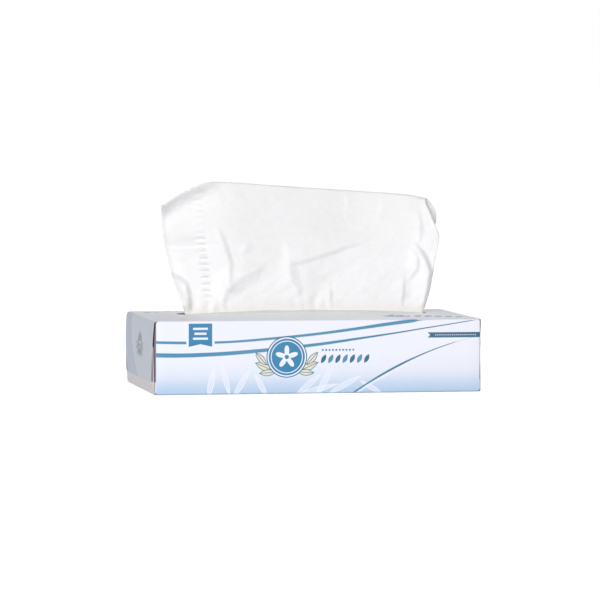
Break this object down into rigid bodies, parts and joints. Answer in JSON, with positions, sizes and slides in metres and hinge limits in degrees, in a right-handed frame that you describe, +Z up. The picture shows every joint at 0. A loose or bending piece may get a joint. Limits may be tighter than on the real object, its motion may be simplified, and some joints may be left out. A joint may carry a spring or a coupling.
{
  "type": "tissue box",
  "caption": "Flat paperboard carton of facial tissues with a long oval slot in its top, a slit clear film under the slot and one soft sheet standing up ready to pull.",
  "frame": {"origin": "centre of the carton's base, on the surface it rests on", "axes": "+X along the carton's length, to the right when facing its front; +Y from the front panel to the back panel; +Z up through the slot"},
  "size_m": [0.236, 0.12, 0.1452],
  "materials": {
    "printed_board": "satin",
    "clear_film": "gloss",
    "tissue": "matte"
  },
  "bodies": {
    "root": {"carton": "printed_board", "slot_film": "clear_film", "tissue_stack": "tissue", "popup_tissue": "tissue"}
  },
  "joints": []
}
